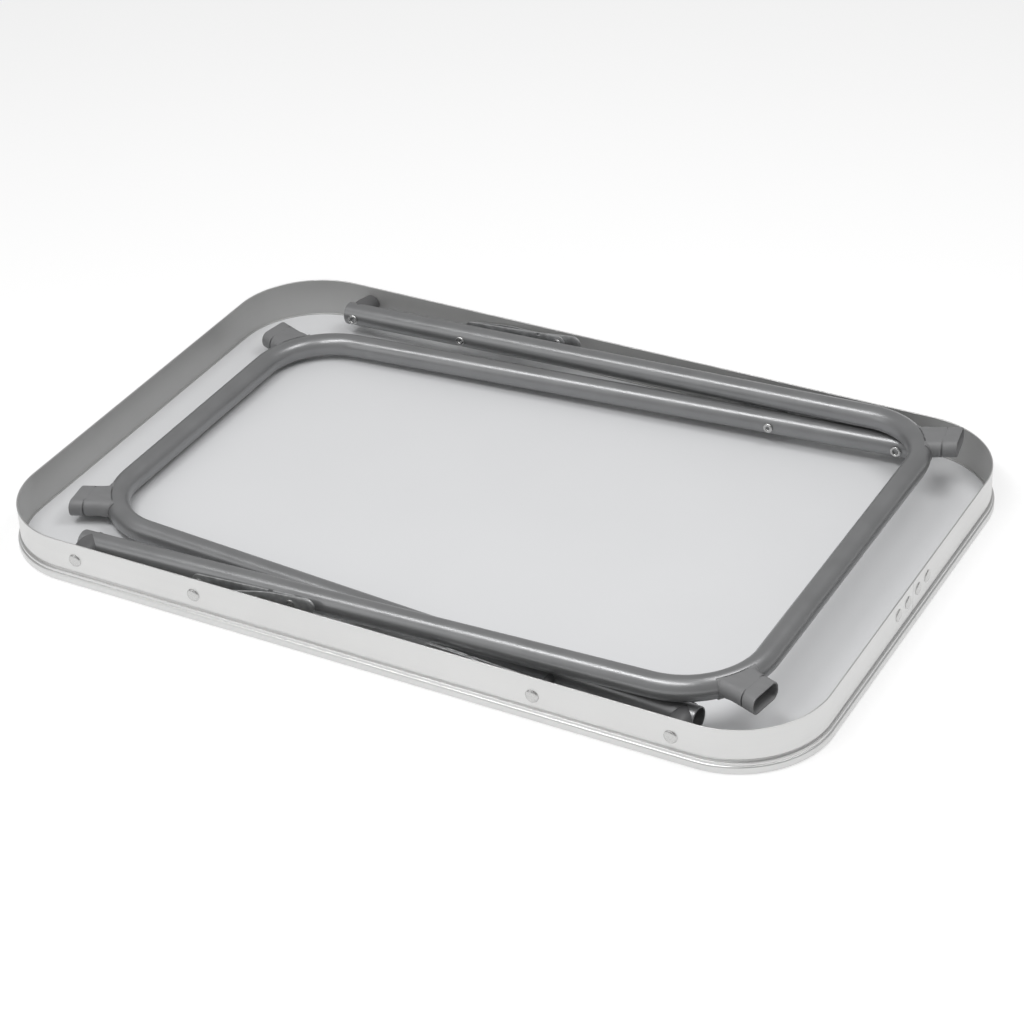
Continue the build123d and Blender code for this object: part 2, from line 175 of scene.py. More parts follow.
class TableStaySizes(bpy.types.PropertyGroup):
    """The flat links of the folding stays and their rivets."""
    width: length("Width", "Width of a link", 18.0)
    thickness: length("Thickness", "Thickness of a link", 2.0)
    lever: length("Lever", "Rim link past the elbow", 27.0)
    elbow_step: length("Elbow step", "Distance between the two links' middles at the elbow", 2.4)
    edge: length("Edge", "Rounded edge of the strip", 0.45)
    notch_at: length("Notch place", "Distance of the notch from the elbow", 23.0)
    notch_width: length("Notch width", "Width of the notch", 5.0)
    notch_depth: length("Notch depth", "Depth of the notch", 3.0)
    pivot: length("Pivot", "Shank radius of a stay rivet", 2.5)
    head: length("Head", "Head radius of a stay rivet", 4.6)
    head_height: length("Head height", "Height of a stay rivet's head", 1.4)
    elbow_head: length("Elbow head", "Height of an elbow rivet's head", 1.3)
    roll: length("Roll", "Radius of a stay rivet's rolled end", 5.4)
    hollow: length("Hollow", "Radius of the hole in a stay rivet's rolled end", 1.9)


class TableRivetSizes(bpy.types.PropertyGroup):
    """The long hinge rivets and the heads outside the rim."""
    shank: length("Shank", "Shank radius of a hinge rivet", 4.0)
    head: length("Head", "Radius of the heads outside the rim", 7.0)
    head_height: length("Head height", "Height of the heads outside the rim", 2.4)
    roll: length("Roll", "Radius of the rolled end", 6.0)
    roll_height: length("Roll height", "Height of the rolled end", 1.7)
    hollow: length("Hollow", "Radius of the hole in the rolled end", 2.9)
    hollow_depth: length("Hollow depth", "Depth of the hole in the rolled end", 14.0)
    stay_depth: length("Stay hole depth", "Depth of the hole in a stay rivet's rolled end", 8.0)
    slip: length("Slip", "Gap between faces that slide past each other", 0.3)


class TableFinishes(bpy.types.PropertyGroup):
    """Colours of the table's materials."""
    rim: colour("Rim", "Satin anodised aluminium", (0.68, 0.68, 0.675))
    # Rim inside: a darker copy of the rim colour, painted shade for the inner walls of the rim; it is also
    # less metallic
    rim_inside_shade: colour("Rim inside", "Duller, unpolished inside of the rim", (0.46, 0.46, 0.455))
    board: colour("Board", "Coated underside of the board", (0.72, 0.725, 0.735))
    laminate: colour("Laminate", "Working face of the table", (0.62, 0.625, 0.64))
    enamel: colour("Enamel", "Paint on the leg tubes", (0.262, 0.264, 0.268))
    foot: colour("Foot", "Moulded feet and boots", (0.195, 0.196, 0.199))
    spacer: colour("Spacer", "Moulded spacers", (0.105, 0.105, 0.107))
    zinc: colour("Zinc", "Plated strip of the stays", (0.52, 0.525, 0.53))
    rivet: colour("Rivet", "Bright plated rivets", (0.58, 0.58, 0.575))


class TableStageSettings(bpy.types.PropertyGroup):
    """Floor, lights and camera."""
    floor: colour("Floor", "Pale studio floor", (0.55, 0.55, 0.55))
    glow: share("Glow", "Light that the backlit floor gives off", 0.51)
    sky: FloatProperty(name="Sky", description="Strength of the even studio light", default=0.43, min=0.0)
    key: FloatProperty(name="Key", description="Power of the long light over the near side",
                       default=20.0, min=0.0, unit="POWER")
    fill: FloatProperty(name="Fill", description="Power of the soft light from the left front",
                        default=4.0, min=0.0, unit="POWER")
    over: FloatProperty(name="Over", description="Power of the soft light over the right end",
                        default=9.0, min=0.0, unit="POWER")
    eye: FloatVectorProperty(name="Eye", description="Place of the camera", size=3, subtype="XYZ",
                             unit="LENGTH", default=(1.24692, -2.13843, 1.62132))
    azimuth: angle("Azimuth", "Direction of the camera round the table", 30.086)
    elevation: angle("Elevation", "Height of the camera over the horizon", 33.150)
    roll: angle("Roll", "Tilt of the camera about its line of sight", -2.829)
    lens: FloatProperty(name="Lens", description="Focal length", default=101.1, subtype="DISTANCE_CAMERA",
                        unit="CAMERA")


GROUPS = {"table_rim": TableRimSizes, "table_leg": TableLegSizes, "table_foot": TableFootSizes,
          "table_stay": TableStaySizes, "table_rivet": TableRivetSizes,
          "table_finish": TableFinishes, "table_stage": TableStageSettings}


# ------------------------------------------------------------------ mesh building
class Shell:
    """Points and faces of one piece, gathered before they become a mesh."""

    def __init__(self):
        self.points, self.faces, self.flat = [], [], {}

    def rings(self, rings, matrix=Matrix(), around=True, loop=False, capped=False):
        """Skin over rings of points. A loop joins the last ring to the first."""
        start, count, rows = len(self.points), len(rings[0]), len(rings)
        self.points += [matrix @ Vector(point) for ring in rings for point in ring]
        for row in range(rows if loop else rows - 1):
            here, there = start + row * count, start + (row + 1) % rows * count
            for i in range(count if around else count - 1):
                j = (i + 1) % count
                self.faces.append((here + i, here + j, there + j, there + i))
        if capped:
            self.faces.append(tuple(range(start, start + count)))
            self.faces.append(tuple(range(start + (rows - 1) * count, start + rows * count)))
        return start

    def turned(self, profile, matrix, steps=40, loop=False):
        """Shape turned about z from (radius, height) points."""
        turns = [math.tau * step / steps for step in range(steps)]
        rings = [[(r * math.cos(t), r * math.sin(t), h) for t in turns] for r, h in profile]
        self.rings(rings, matrix, loop=loop, capped=not loop)


def piece(name, shell, finish, body, slot, *nodes, sharp=40.0):
    """Turn a shell into an object that stands for CAD nodes and rides on their body."""
    mesh = bpy.data.meshes.new(name)
    mesh.from_pydata(shell.points, [], shell.faces)
    work = bmesh.new()
    work.from_mesh(mesh)
    bmesh.ops.recalc_face_normals(work, faces=work.faces[:])
    work.to_mesh(mesh)
    work.free()
    if shell.flat:
        layer = mesh.uv_layers.new(name="along")
        for loop in mesh.loops:
            layer.data[loop.index].uv = shell.flat[loop.vertex_index]
    mesh.shade_smooth()
    mesh.set_sharp_from_angle(angle=math.radians(sharp))
    mesh.materials.append(finish)
    made = bpy.data.objects.new(name, mesh)
    bpy.context.scene.collection.objects.link(made)
    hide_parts(*nodes)
    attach(made, body)
    return made


def softened(corners, steps=5):
    """Closed outline through (x, y, radius) corners, each rounded by an arc."""
    outline = []
    for i, (x, y, radius) in enumerate(corners):
        here = Vector((x, y))
        if radius <= 0:
            outline.append(here)
            continue
        before = (Vector(corners[i - 1][:2]) - here).normalized()
        after = (Vector(corners[(i + 1) % len(corners)][:2]) - here).normalized()
        half = before.angle(after) / 2
        centre = here + (before + after).normalized() * radius / math.sin(half)
        first = here + before * radius / math.tan(half) - centre
        sweep = first.angle_signed(here + after * radius / math.tan(half) - centre)
        outline += [centre + Matrix.Rotation(-sweep * step / steps, 2) @ first for step in range(steps + 1)]
    return outline


def round_box(half_width, half_height, radius, steps=8):
    """Outline of a box with round corners."""
    points = []
    for turn, x, y in ((0, 1, 1), (1, -1, 1), (2, -1, -1), (3, 1, -1)):
        for step in range(steps + 1):
            t = (turn + step / steps) * math.pi / 2
            points.append((x * (half_width - radius) + radius * math.cos(t),
                           y * (half_height - radius) + radius * math.sin(t)))
    return points


def dome(radius, height, steps=9):
    """Profile of a domed head from its brim up to its crown."""
    brim = 0.22 * height
    profile = [(radius - 0.25 * brim, 0.0), (radius, 0.4 * brim), (radius, 0.8 * brim),
               (radius * 0.965, brim)]
    for step in range(1, steps + 1):
        t = 0.97 * step / steps * math.pi / 2
        profile.append((0.95 * radius * math.cos(t), brim + (height - brim) * math.sin(t)))
    return profile


def rolled(shank, roll, height, hollow, depth):
    """Profile of a rolled tubular end, from the shank, over the roll and down the hole."""
    middle, half = (roll + hollow) / 2, (roll - hollow) / 2
    profile = [(shank, 0.0)]
    for step in range(13):
        t = math.pi * step / 12
        profile.append((middle + half * math.cos(t), 0.15 * height + 0.85 * height * math.sin(t)))
    return profile + [(hollow, -depth)]


def facing_y(x, y, z, side=BACK):
    """Place whose z axis points along +Y, or along -Y for the front side."""
    return Matrix.Translation((x, y, z)) @ Matrix.Rotation(-side * math.pi / 2, 4, "X")


def flipped(axis):
    """Mirror across the plane at right angles to an axis."""
    return Matrix.Scale(-1, 4, axis)


# ------------------------------------------------------------------ finishes
class Finish:
    """A material's node tree with one Principled shader."""

    def __init__(self, name, base, metallic, roughness, **fixed):
        self.material = bpy.data.materials.new(name)
        self.material.use_nodes = True
        self.tree = self.material.node_tree
        self.shader = self.tree.nodes["Principled BSDF"]
        self.base = tuple(base)
        self.set(self.shader, {"Base Color": (*base, 1.0), "Metallic": metallic,
                               "Roughness": roughness, **fixed})

    def set(self, node, values):
        for name, value in values.items():
            node.inputs[name].default_value = value

    def node(self, kind, values=None, **settings):
        made = self.tree.nodes.new(kind)
        for name, value in settings.items():
            setattr(made, name, value)
        self.set(made, values or {})
        return made

    def join(self, source, target):
        self.tree.links.new(source, target)

    def noise(self, scale, detail=4.0, stretch=(1.0, 1.0, 1.0), along=False):
        """Noise over the object, or along its rim where along is true."""
        place = self.node("ShaderNodeTexCoord").outputs["UV" if along else "Object"]
        mapping = self.node("ShaderNodeMapping", {"Scale": stretch})
        texture = self.node("ShaderNodeTexNoise", {"Scale": scale, "Detail": detail})
        self.join(place, mapping.inputs["Vector"])
        self.join(mapping.outputs["Vector"], texture.inputs["Vector"])
        return texture.outputs["Fac"]

    def spread(self, source, low, high, start=0.3, stop=0.7):
        """Map a noise to a range of values."""
        ranged = self.node("ShaderNodeMapRange", {"From Min": start, "From Max": stop, "To Min": low,
                                                  "To Max": high})
        self.join(source, ranged.inputs["Value"])
        return ranged.outputs["Result"]

    def tint(self, source, dark, light):
        """Vary the base colour between two shares of it."""
        ramp = self.node("ShaderNodeValToRGB")
        for stop, factor, place in zip(ramp.color_ramp.elements, (dark, light), (0.3, 0.7)):
            stop.color = (*(min(1.0, channel * factor) for channel in self.base), 1.0)
            stop.position = place
        self.join(source, ramp.inputs["Fac"])
        self.join(ramp.outputs["Color"], self.shader.inputs["Base Color"])

    def roughen(self, source, low, high):
        self.join(self.spread(source, low, high), self.shader.inputs["Roughness"])

    def bump(self, height, strength, distance, under=None):
        """Add a bump, on top of another one if there is one under it."""
        made = self.node("ShaderNodeBump", {"Strength": strength, "Distance": distance})
        self.join(height, made.inputs["Height"])
        if under:
            self.join(under, made.inputs["Normal"])
        self.join(made.outputs["Normal"], self.shader.inputs["Normal"])
        return made.outputs["Normal"]


def anodised(name, base, metallic):
    """Satin rim: fine die lines along its length, and a soft cloudy sheen."""
    finish = Finish(name, base, metallic, 0.36)
    lines = finish.noise(1.0, 5.0, stretch=(3.0, 900.0, 1.0), along=True)
    cloud = finish.noise(9.0, 3.0)
    finish.tint(cloud, 0.955, 1.0)
    finish.roughen(lines, 0.30, 0.42)
    finish.bump(lines, 0.10, 0.0002, finish.bump(cloud, 0.05, 0.0008))
    return finish.material


def coated_board(colours):
    """Underside of the board: a matt coat over a barely uneven sheet."""
    finish = Finish("coated_board", colours.board, 0.0, 0.42, **{"Specular IOR Level": 0.45})
    grain = finish.noise(1400.0, 2.0)
    waves = finish.noise(7.0, 2.0)
    finish.tint(waves, 0.985, 1.0)
    finish.roughen(grain, 0.38, 0.48)
    finish.bump(grain, 0.06, 0.0001, finish.bump(waves, 0.08, 0.0015))
    return finish.material


def pebbled_laminate(colours):
    """Working face: light laminate with a fine pebble."""
    finish = Finish("pebbled_laminate", colours.laminate, 0.0, 0.38)
    pebble = finish.node("ShaderNodeTexVoronoi", {"Scale": 900.0}, feature="SMOOTH_F1")
    finish.join(finish.node("ShaderNodeTexCoord").outputs["Object"], pebble.inputs["Vector"])
    speck = finish.noise(420.0, 3.0)
    finish.tint(speck, 0.93, 1.0)
    finish.roughen(speck, 0.34, 0.46)
    finish.bump(pebble.outputs["Distance"], 0.25, 0.0001)
    return finish.material


def satin_enamel(colours):
    """Leg paint: metallic grey enamel with orange peel."""
    coat = {"Coat Weight": 0.15, "Coat Roughness": 0.2}
    finish = Finish("satin_enamel", colours.enamel, 0.62, 0.33, **coat)
    peel = finish.noise(380.0, 2.0)
    dust = finish.noise(28.0, 5.0)
    finish.tint(dust, 0.94, 1.04)
    finish.roughen(dust, 0.29, 0.37)
    finish.bump(peel, 0.05, 0.0002)
    return finish.material


def moulded(name, base, rough):
    """Injection moulded plastic with a spark-eroded grain."""
    finish = Finish(name, base, 0.0, rough)
    grain = finish.noise(2600.0, 2.0)
    flow = finish.noise(60.0, 3.0, stretch=(1.0, 3.0, 1.0))
    finish.tint(flow, 0.95, 1.03)
    finish.roughen(flow, rough - 0.05, rough + 0.05)
    finish.bump(grain, 0.18, 0.00006)
    return finish.material


def plated_strip(colours):
    """Stay links: zinc plated steel, rolled lengthways, slightly blotchy and scuffed."""
    finish = Finish("zinc_plated_strip", colours.zinc, 0.9, 0.38)
    blotch = finish.noise(130.0, 5.0)
    rolled_lines = finish.noise(1.0, 4.0, stretch=(60.0, 60.0, 2400.0))
    finish.tint(blotch, 0.78, 1.08)
    finish.roughen(blotch, 0.30, 0.50)
    finish.bump(rolled_lines, 0.10, 0.0001)
    return finish.material


def bright_rivet(colours):
    """Bright plated rivets with faint tool marks."""
    finish = Finish("bright_plated_rivet", colours.rivet, 1.0, 0.24)
    marks = finish.noise(900.0, 3.0)
    finish.tint(marks, 0.90, 1.0)
    finish.roughen(marks, 0.18, 0.32)
    finish.bump(marks, 0.08, 0.00008)
    return finish.material


def finishes():
    """All materials by slot name, made once."""
    colours = bpy.context.scene.table_finish
    makers = {"rim_aluminium": ("anodised_outside", lambda name: anodised(name, colours.rim, 0.92)),
              # The inside copy of the rim finish takes the darker colour: painted shade on the inner walls
              "rim_inside_shade": ("anodised_inside", lambda name: anodised(name, colours.rim_inside_shade, 0.4)),
              "board_core": ("coated_board", lambda name: coated_board(colours)),
              "laminate": ("pebbled_laminate", lambda name: pebbled_laminate(colours)),
              "leg_paint": ("satin_enamel", lambda name: satin_enamel(colours)),
              "foot_plastic": ("moulded_foot", lambda name: moulded(name, colours.foot, 0.48)),
              "spacer_plastic": ("moulded_spacer", lambda name: moulded(name, colours.spacer, 0.40)),
              "link_steel": ("zinc_plated_strip", lambda name: plated_strip(colours)),
              "rivet_steel": ("bright_plated_rivet", lambda name: bright_rivet(colours))}
    return {slot: bpy.data.materials.get(name) or make(name) for slot, (name, make) in makers.items()}


# ------------------------------------------------------------------ leg geometry
class LegFrame:
    """Where one leg frame lies, worked out from the packed joints and tubes."""

    def __init__(self, name):
        sizes = bpy.context.scene.table_leg
        self.name, self.body, self.sizes = name, f"{name}_leg_frame", sizes
        hinge = JOINTS[f"{name}_leg_hinge"]["pos_m"]
        low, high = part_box(f"{name}_leg_tube")
        self.hinge_x, self.hinge_z = hinge[0], hinge[2]
        bar_x = high.x - sizes.tube if hinge[0] < 0 else -low.x - sizes.tube
        rises = high.z - self.hinge_z > self.hinge_z - low.z
        bar_z = high.z - sizes.tube if rises else low.z + sizes.tube
        run, rise = bar_x + abs(hinge[0]), bar_z - self.hinge_z
        self.reach, slope = math.hypot(run, rise), math.atan2(rise, run)
        self.hinge_y, self.bar_y = sizes.outer_spread if name == "outer" else sizes.inner_spread
        self.taper = math.atan2(self.hinge_y - self.bar_y, self.reach)
        self.place = Matrix.Translation((-abs(hinge[0]), 0, self.hinge_z)) @ Matrix.Rotation(-slope, 4, "Y")
        if hinge[0] > 0:
            self.place = flipped((1, 0, 0)) @ self.place
        bend_x = self.reach - sizes.bend
        self.bend_centre = (bend_x, self.width_at(bend_x) - sizes.bend / math.cos(self.taper))
        stay = JOINTS[f"{name}_back_leg_stay_pivot"]["pos_m"]
        self.stay_x = (self.place.inverted() @ Vector(stay)).x
        self.stay_y = stay[1]

    def width_at(self, x):
        """Half-width of the frame at a distance x from the hinge."""
        return self.hinge_y + (self.bar_y - self.hinge_y) * x / self.reach

    def inboard_side(self, x, radius):
        """Where a flat ring of that radius first meets the tube's inboard side."""
        return self.width_at(x) - self.sizes.tube / math.cos(self.taper) - radius * math.tan(self.taper)

    def on(self, side):
        """Place of a part drawn on the back leg, for the back or front leg."""
        return self.place if side == BACK else self.place @ flipped((0, 1, 0))


def legs():
    return [LegFrame("outer"), LegFrame("inner")]


def tube_line(leg):
    """Stations (point, direction, bend) along the frame's centre line, from the front tail
    round the bar to the back tail. Bend goes from 0 on a straight to 1 in a bend."""
    sizes = leg.sizes
    cx, cy = leg.bend_centre
    half = [(Vector((-sizes.tail, leg.width_at(-sizes.tail), 0)), -leg.taper, 0.0)]
    turns = [math.pi / 2 - leg.taper - (math.pi / 2 - leg.taper) * step / sizes.bend_steps
             for step in range(sizes.bend_steps + 1)]
    for step, turn in enumerate(turns):
        point = Vector((cx + sizes.bend * math.cos(turn), cy + sizes.bend * math.sin(turn), 0))
        swell = math.sin(math.pi * step / sizes.bend_steps) ** 0.5 if 0 < step < sizes.bend_steps else 0.0
        half.append((point, turn - math.pi / 2, swell))
    other = [(Vector((p.x, -p.y, 0)), math.pi - heading, swell) for p, heading, swell in reversed(half)]
    return half + other


def tube_ring(sizes, point, heading, swell, radius, back_off=0.0):
    """Ring of points across the tube at one station."""
    along = Vector((math.cos(heading), math.sin(heading), 0))
    across = Vector((-along.y, along.x, 0))
    wide, high = radius * (1 - sizes.ovality * swell), radius * (1 + sizes.ovality * swell / 2)
    ring = []
    for step in range(sizes.round_steps):
        t = math.tau * step / sizes.round_steps
        offset = across * wide * math.cos(t) + Vector((0, 0, high * math.sin(t)))
        ring.append(point + along * back_off + offset)
    return ring


# ------------------------------------------------------------------ operators
class TABLE_OT_board(bpy.types.Operator):
    """Give the board and its laminate their finishes"""
    bl_idname = "table.board"
    bl_label = "Board and laminate"

    def execute(self, context):
        for node, slot in (("top_board", "board_core"), ("top_laminate", "laminate")):
            sheet = frame["nodes"][node]
            sheet.data.materials.clear()
            sheet.data.materials.append(finishes()[slot])
        return {"FINISHED"}


class TABLE_OT_rim(bpy.types.Operator):
    """Sweep the rim's section round the board"""
    bl_idname = "table.rim"
    bl_label = "Rim"

    def section(self, rim, high):
        """Closed section as (distance out from the wall, height), from the inside bottom."""
        wall, bead, lip = -rim.wall, rim.bead_depth, rim.lip_depth
        crown = rim.bead_top - 0.15 * rim.bead_edge
        return softened([
            (wall, 0, 0), (bead, 0, rim.bead_edge * 0.9), (bead, rim.bead_top, rim.bead_edge * 0.9),
            (lip, crown, 0.2 * MM), (lip, rim.lip_top, rim.lip_edge),
            (-rim.groove, rim.lip_top, 0.3 * MM),
            (-rim.groove, rim.groove_top - 1.6 * rim.groove, 0.5 * MM),
            (0, rim.groove_top, 1.5 * MM), (0, high, rim.top_edge), (wall, high, rim.top_edge),
            (wall, rim.ledge_high, 0.3 * MM), (wall - rim.ledge_depth, rim.ledge_high, 0.3 * MM),
            (wall - rim.ledge_depth, rim.ledge_low, 0), (wall, rim.ledge_low, 0)])

    def stations(self, rim):
        """Points on the wall and directions out of it, once round from the seam."""
        wall_x, wall_y = RIM_HIGH.x - rim.bead_depth, RIM_HIGH.y - rim.bead_depth
        line = [(Vector((wall_x, rim.seam / 2)), Vector((1, 0)))]
        for quarter, sx, sy in ((0, 1, 1), (1, -1, 1), (2, -1, -1), (3, 1, -1)):
            centre = Vector((sx * (wall_x - rim.corner), sy * (wall_y - rim.corner)))
            for step in range(rim.corner_steps + 1):
                t = (quarter + step / rim.corner_steps) * math.pi / 2
                out = Vector((math.cos(t), math.sin(t)))
                line.append((centre + out * rim.corner, out))
        return line + [(Vector((wall_x, -rim.seam / 2)), Vector((1, 0)))]

    def execute(self, context):
        rim = context.scene.table_rim
        section, stations = self.section(rim, RIM_HIGH.z), self.stations(rim)
        rings = [[(*(point + out * u), z) for u, z in section] for point, out in stations]
        shell = Shell()
        shell.rings(rings, capped=True)
        across = [0.0]
        for a, b in zip(section, section[1:]):
            across.append(across[-1] + (b - a).length)
        run, index = 0.0, 0
        for i, (point, _) in enumerate(stations):
            run += (point - stations[i - 1][0]).length if i else 0.0
            for v in across:
                shell.flat[index] = (run, v)
                index += 1
        made = piece("rim_frame_detail", shell, finishes()["rim_aluminium"], "table_top", "rim_aluminium",
                     "rim_frame", sharp=50.0)
        # Inward faces below the top edge take the darker inside copy of the rim finish: painted shade on
        # the inner walls
        made.data.materials.append(finishes()["rim_inside_shade"])
        inside = RIM_HIGH.z - rim.top_edge
        for face in made.data.polygons:
            inward = face.normal.x * face.center.x + face.normal.y * face.center.y < 0
            face.material_index = int(inward and face.center.z < inside)
        return {"FINISHED"}


class TABLE_OT_splice(bpy.types.Operator):
    """Build the splice plate behind the rim's seam and its rivets"""
    bl_idname = "table.splice"
    bl_label = "Splice"

    def execute(self, context):
        rim = context.scene.table_rim
        low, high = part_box("rim_splice_plate")
        middle, half = (low + high) / 2, (high - low) / 2
        edge = 0.3 * MM
        shell = Shell()
        rings = []
        for x, inset in ((low.x, edge), (low.x + edge, 0), (high.x - edge, 0), (high.x, edge)):
            outline = round_box(half.y - inset, half.z - inset, rim.splice_edge - inset)
            rings.append([(x, middle.y + y, middle.z + z) for y, z in outline])
        shell.rings(rings, capped=True)
        piece("rim_splice_plate_detail", shell, finishes()["link_steel"], "table_top", "link_steel",
              "rim_splice_plate")
        low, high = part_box("rim_splice_rivets")
        wall = RIM_HIGH.x - rim.bead_depth
        first, last = low.y + rim.splice_head, high.y - rim.splice_head
        inner, shank, tail_r, tail_h = (rim.splice_inner, rim.splice_shank, rim.splice_tail,
                                        rim.splice_tail_height)
        shell = Shell()
        for y in (first, -inner, inner, last):
            place = Matrix.Translation((wall, y, middle.z)) @ Matrix.Rotation(math.pi / 2, 4, "Y")
            depth = low.x - wall
            tail = [(0.25 * shank, depth), (0.75 * tail_r, depth), (tail_r, depth + tail_h / 3),
                    (tail_r, depth + tail_h - 0.1 * MM), (shank, depth + tail_h), (shank, 0.0)]
            shell.turned(tail + dome(rim.splice_head, high.x - wall), place)
        piece("rim_splice_rivets_detail", shell, finishes()["rivet_steel"], "table_top", "rivet_steel",
              "rim_splice_rivets")
        return {"FINISHED"}


class TABLE_OT_leg_tubes(bpy.types.Operator):
    """Bend the two leg frames from tube"""
    bl_idname = "table.leg_tubes"
    bl_label = "Leg tubes"

    def execute(self, context):
        for leg in legs():
            sizes, line = leg.sizes, tube_line(leg)
            edge = 0.35 * MM
            outside = [tube_ring(sizes, *line[0], sizes.tube - edge)]
            outside.append(tube_ring(sizes, *line[0], sizes.tube, edge))
            outside += [tube_ring(sizes, *station, sizes.tube) for station in line[1:-1]]
            outside.append(tube_ring(sizes, *line[-1], sizes.tube, -edge))
            outside.append(tube_ring(sizes, *line[-1], sizes.tube - edge))
            bore = sizes.tube - sizes.tube_wall
            inside = [tube_ring(sizes, *station, bore) for station in reversed(line)]
            shell = Shell()
            shell.rings(outside + inside, leg.place, loop=True)
            piece(f"{leg.name}_leg_tube_detail", shell, finishes()["leg_paint"], leg.body, "leg_paint",
                  f"{leg.name}_leg_tube")
        return {"FINISHED"}


class TABLE_OT_feet(bpy.types.Operator):
    """Mould the collars, feet and boots in the bends"""
    bl_idname = "table.feet"
    bl_label = "Feet and boots"

    def saddle(self, sizes, foot, radius):
        """Section of the collar as (distance out, height), cut flat level with the flat end."""
        top, steps, section = foot.lift + foot.height / 2, 22, []
        for r, order in ((radius, 1), (0.98 * sizes.tube, -1)):
            low, high = -math.acos(foot.side / r), math.asin(top / r)
            arc = [low + (high - low) * step / steps for step in range(steps + 1)]
            section += [(r * math.cos(t), r * math.sin(t)) for t in arc[::order]]
        return section

    def collar(self, leg, foot):
        """Saddle on the outer side of the bend, with a raised band at each end."""
        sizes = leg.sizes
        centre = Vector((*leg.bend_centre, 0))
        start, stop = foot.middle - foot.span / 2, foot.middle + foot.span / 2
        band = foot.band / sizes.bend
        over = sizes.tube * (1 + sizes.ovality / 2) + foot.collar
        crest, shoulder = over + foot.band_height, over + 0.8 * foot.band_height
        profile = [(0.0, over), (0.12 * band, shoulder), (0.3 * band, crest), (0.7 * band, crest),
                   (0.88 * band, shoulder), (band, over)]
        stations = [(start + t, r) for t, r in profile]
        steps = 14
        stations += [(start + band + (foot.span - 2 * band) * i / steps, over) for i in range(1, steps)]
        stations += [(stop - t, r) for t, r in reversed(profile)]
        rings = []
        for turn, radius in stations:
            out = Vector((math.cos(turn), math.sin(turn), 0))
            rings.append([centre + out * (sizes.bend + u) + Vector((0, 0, z))
                          for u, z in self.saddle(sizes, foot, radius)])
        return rings

    def section(self, leg, foot, half_w, half_h, radius, at, skewed=True):
        """Ring across the flat end, a distance out from the middle of the tube."""
        cx, cy = leg.bend_centre
        x0, y0 = cx + leg.sizes.bend * math.cos(foot.anchor), cy + leg.sizes.bend * math.sin(foot.anchor)
        cos, sin = math.cos(foot.turn), math.sin(foot.turn)
        ring = []
        for w, h in round_box(half_w, half_h, radius):
            t = at + w * math.tan(foot.skew) if skewed else at
            ring.append((x0 + cos * t - sin * w, y0 + sin * t + cos * w, foot.lift + h))
        return ring

    def stub(self, leg, foot):
        """Flat end of the foot: a fillet where it leaves the collar, and a pocket for the boot."""
        half_w, half_h, edge = foot.width / 2, foot.height / 2, foot.edge
        split, tube = foot.out - foot.boot, leg.sizes.tube
        rings = []
        for at, flare in ((0.0, 1.5), (0.85, 1.5), (1.0, 1.1), (1.15, 0.55), (1.35, 0.15), (1.6, 0.0)):
            rings.append(self.section(leg, foot, half_w + flare * MM, half_h, edge, at * tube, False))
        for at, inset in ((split - 2.0 * MM, 0.0), (split - 1.2 * MM, 0.0), (split - 1.0 * MM, 0.02 * MM)):
            rings.append(self.section(leg, foot, half_w - inset, half_h - inset, edge - inset, at))
        deep = foot.groove
        for at in (split - 1.0 * MM, split):
            rings.append(self.section(leg, foot, half_w - deep, half_h - foot.seam, edge - foot.seam, at))
        pocket = (half_w - foot.wall, half_h - foot.wall, edge - foot.wall)
        rings.append(self.section(leg, foot, *pocket, split))
        rings.append(self.section(leg, foot, *pocket, tube + foot.wall, False))
        return rings

    def boot(self, leg, foot):
        """Hollow end piece with a spigot."""
        half_w, half_h = foot.width / 2 + foot.boot_lip, foot.height / 2 + foot.boot_lip
        edge = foot.edge + foot.boot_lip
        start, stop = foot.out - foot.boot + 0.05 * MM, foot.out
        fit = foot.wall + foot.boot_lip + 0.05 * MM
        deep = foot.groove + foot.boot_lip
        shallow, rim = foot.seam + foot.boot_lip, 0.65 * foot.wall
        outline = [(start - foot.spigot, fit, fit), (start, fit, fit), (start, deep, shallow),
                   (start + 0.7 * MM, deep, shallow), (start + 0.8 * MM, 0.12 * MM, 0.02 * MM),
                   (start + 1.1 * MM, 0, 0), (stop - 0.6 * MM, 0, 0),
                   (stop - 0.25 * MM, 0.08 * MM, 0.08 * MM),
                   (stop - 0.05 * MM, 0.3 * MM, 0.3 * MM), (stop, 0.6 * MM, 0.6 * MM),
                   (stop, rim - 0.4 * MM, rim - 0.4 * MM), (stop - 0.4 * MM, rim, rim),
                   (start + 1.5 * MM, fit + 0.8 * MM, fit + 0.8 * MM),
                   (start - foot.spigot, fit + 1.5 * MM, fit + 1.5 * MM)]
        return [self.section(leg, foot, half_w - w, half_h - h, max(edge - h, 0.5 * MM), at)
                for at, w, h in outline]

    def execute(self, context):
        foot, paint = context.scene.table_foot, finishes()["foot_plastic"]
        for leg in legs():
            collar, stub, boot = self.collar(leg, foot), self.stub(leg, foot), self.boot(leg, foot)
            for end, side in ENDS.items():
                shell = Shell()
                shell.rings(collar, leg.on(side), capped=True)
                shell.rings(stub, leg.on(side), capped=True)
                node = f"{leg.name}_leg_{end}_foot"
                piece(f"{node}_detail", shell, paint, leg.body, "foot_plastic", node)
                shell = Shell()
                shell.rings(boot, leg.on(side), loop=True)
                node = f"{leg.name}_leg_{end}_boot"
                piece(f"{node}_detail", shell, paint, leg.body, "foot_plastic", node)
        return {"FINISHED"}


